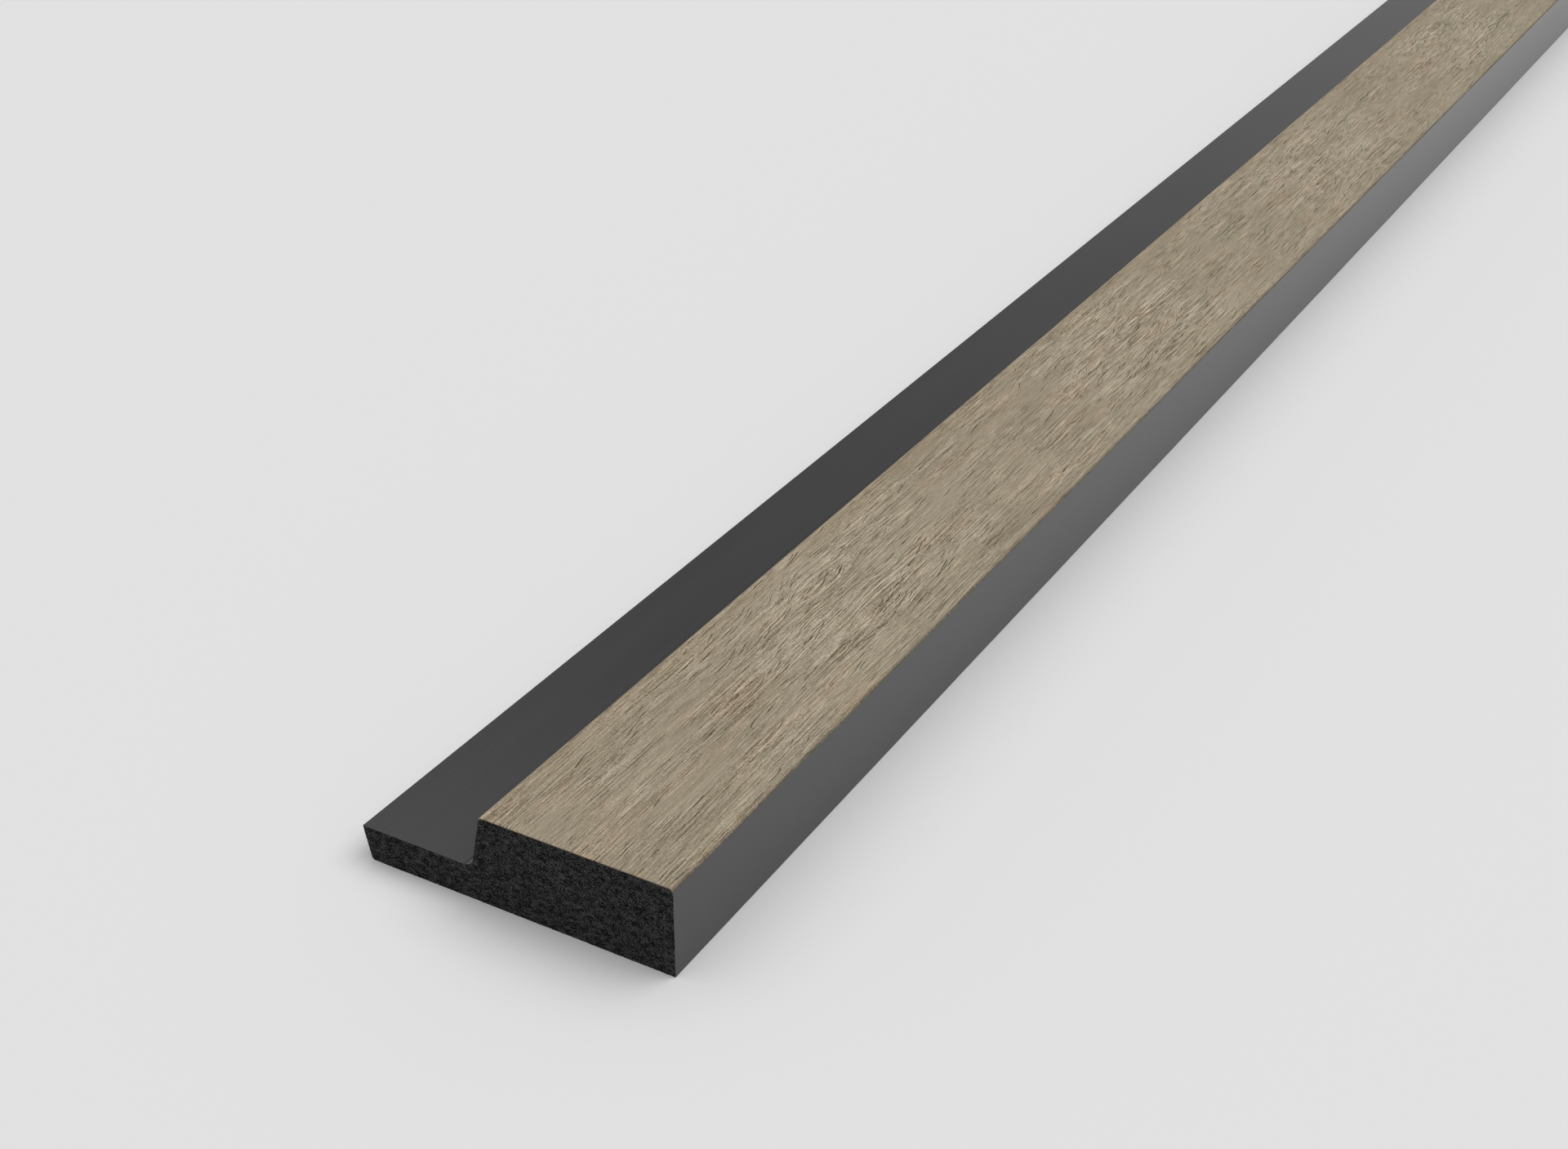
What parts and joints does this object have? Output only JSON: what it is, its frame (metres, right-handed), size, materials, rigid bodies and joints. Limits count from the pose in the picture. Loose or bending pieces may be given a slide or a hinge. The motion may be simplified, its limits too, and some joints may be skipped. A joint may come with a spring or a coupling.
{
  "type": "slatted panel end trim",
  "caption": "Long end trim for a slatted wall panel: a wood-look slat with a rounded-edge face and a thin bevelled tongue beside it, closing the panel's cut side.",
  "frame": {"origin": "middle of the flat back, halfway along the length and halfway across the overall width", "axes": "+Y along the length, +Z from the wall towards the room, +X from the tongue towards the outer side"},
  "size_m": [0.0424, 2.65, 0.012],
  "materials": {
    "dark_foam": "dark grey extruded polystyrene foam, dyed through: satin extrusion skin on the long faces, granular saw cut on the ends",
    "wood_film": "printed film in grey-beige brushed oak, matt, with fine dark pores along the length"
  },
  "bodies": {
    "root": {"trim_profile": "dark_foam", "decor_film": "wood_film"}
  },
  "joints": []
}
